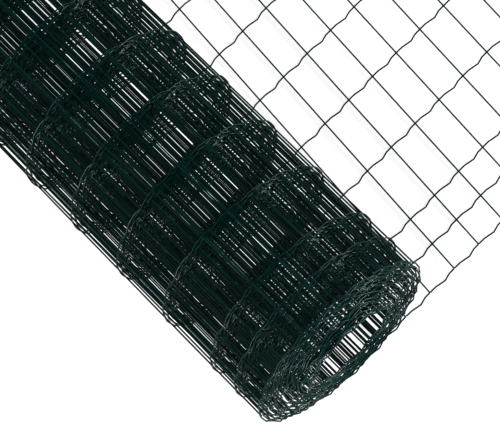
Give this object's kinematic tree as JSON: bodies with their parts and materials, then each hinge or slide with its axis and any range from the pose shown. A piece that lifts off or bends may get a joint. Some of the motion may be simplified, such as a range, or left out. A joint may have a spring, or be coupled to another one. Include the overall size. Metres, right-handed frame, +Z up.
{
  "type": "welded wire mesh roll",
  "caption": "Green coated welded wire mesh fencing, rolled up and lying on its side, with an open bore and its outer end run out flat on the ground.",
  "frame": {"origin": "the middle of the whole part's footprint, on the ground", "axes": "+X along the roll's axis towards its open end, +Y the way the loose end lies, +Z up"},
  "size_m": [1.0054, 0.7784, 0.3104],
  "materials": {
    "coated_wire": "dark green PVC coating over galvanised steel wire, satin"
  },
  "bodies": {
    "root": {"rolled_mesh": "coated_wire", "unrolled_end": "coated_wire"}
  },
  "joints": []
}
